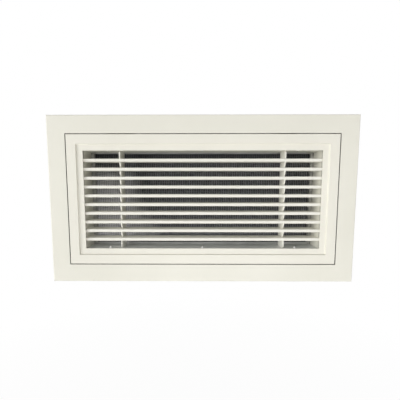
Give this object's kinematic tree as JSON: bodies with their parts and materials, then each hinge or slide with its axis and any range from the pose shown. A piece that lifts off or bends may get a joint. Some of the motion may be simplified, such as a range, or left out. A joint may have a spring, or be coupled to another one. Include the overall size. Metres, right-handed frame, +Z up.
{
  "type": "linear bar grille",
  "caption": "White linear bar return-air grille with a hinged core, support combs and a filter with net behind the bars, for a wall or duct opening.",
  "frame": {"origin": "centre of the wall opening, in the plane of the wall that the flange rests on", "axes": "+X right, +Y into the wall along the air flow, +Z up; the room is at -Y"},
  "size_m": [0.55, 0.06, 0.3],
  "materials": {
    "powder_coat": "satin white powder coat",
    "mill_aluminium": "mill",
    "zinc_steel": "zinc plated",
    "nylon": "moulded nylon",
    "ferrite": "sintered magnet",
    "net_strand": "woven net",
    "filter_fleece": "dark fleece",
    "spline_rubber": "matt"
  },
  "bodies": {
    "outer_frame": {"catch_housing_left": "nylon", "catch_housing_right": "nylon", "catch_magnet_left": "ferrite", "catch_magnet_right": "ferrite", "frame_bottom": "powder_coat", "frame_corner_keys": "mill_aluminium", "frame_left": "powder_coat", "frame_right": "powder_coat", "frame_top": "powder_coat", "hinge_bush_left": "nylon", "hinge_bush_right": "nylon"},
    "door": {"bar_01": "powder_coat", "bar_02": "powder_coat", "bar_03": "powder_coat", "bar_04": "powder_coat", "bar_05": "powder_coat", "bar_06": "powder_coat", "bar_07": "powder_coat", "bar_08": "powder_coat", "bar_09": "powder_coat", "bar_10": "powder_coat", "clip_post_lower_left": "zinc_steel", "clip_post_lower_right": "zinc_steel", "clip_post_upper_left": "zinc_steel", "clip_post_upper_right": "zinc_steel", "core_bottom_plate": "powder_coat", "core_left_plate": "powder_coat", "core_right_plate": "powder_coat", "core_top_plate": "powder_coat", "door_bottom_rail": "powder_coat", "door_corner_keys": "mill_aluminium", "door_left_stile": "powder_coat", "door_right_stile": "powder_coat", "door_top_rail": "powder_coat", "filter_corner_keys": "mill_aluminium", "filter_frame_bottom": "mill_aluminium", "filter_frame_left": "mill_aluminium", "filter_frame_right": "mill_aluminium", "filter_frame_top": "mill_aluminium", "filter_net": "net_strand", "filter_pad": "filter_fleece", "filter_spline": "spline_rubber", "hinge_pin_left": "zinc_steel", "hinge_pin_right": "zinc_steel", "strike_left": "zinc_steel", "strike_right": "zinc_steel", "support_left": "powder_coat", "support_right": "powder_coat"},
    "clip_lower_left": {"filter_clip_lower_left": "zinc_steel"},
    "clip_lower_right": {"filter_clip_lower_right": "zinc_steel"},
    "clip_upper_left": {"filter_clip_upper_left": "zinc_steel"},
    "clip_upper_right": {"filter_clip_upper_right": "zinc_steel"}
  },
  "joints": [
    {"name": "door_hinge", "type": "hinge", "parent": "outer_frame", "child": "door", "pos_m": [0, 0.003, -0.1045], "axis": [1, 0, 0], "range_deg": [0, 105]},
    {"name": "filter_clip_lower_left_turn", "type": "hinge", "parent": "door", "child": "clip_lower_left", "pos_m": [-0.2275, 0.0463, -0.055], "axis": [0, 1, 0], "range_deg": [-90, 0]},
    {"name": "filter_clip_lower_right_turn", "type": "hinge", "parent": "door", "child": "clip_lower_right", "pos_m": [0.2275, 0.0463, -0.055], "axis": [0, 1, 0], "range_deg": [0, 90]},
    {"name": "filter_clip_upper_left_turn", "type": "hinge", "parent": "door", "child": "clip_upper_left", "pos_m": [-0.2275, 0.0463, 0.055], "axis": [0, 1, 0], "range_deg": [-90, 0]},
    {"name": "filter_clip_upper_right_turn", "type": "hinge", "parent": "door", "child": "clip_upper_right", "pos_m": [0.2275, 0.0463, 0.055], "axis": [0, 1, 0], "range_deg": [0, 90]}
  ]
}
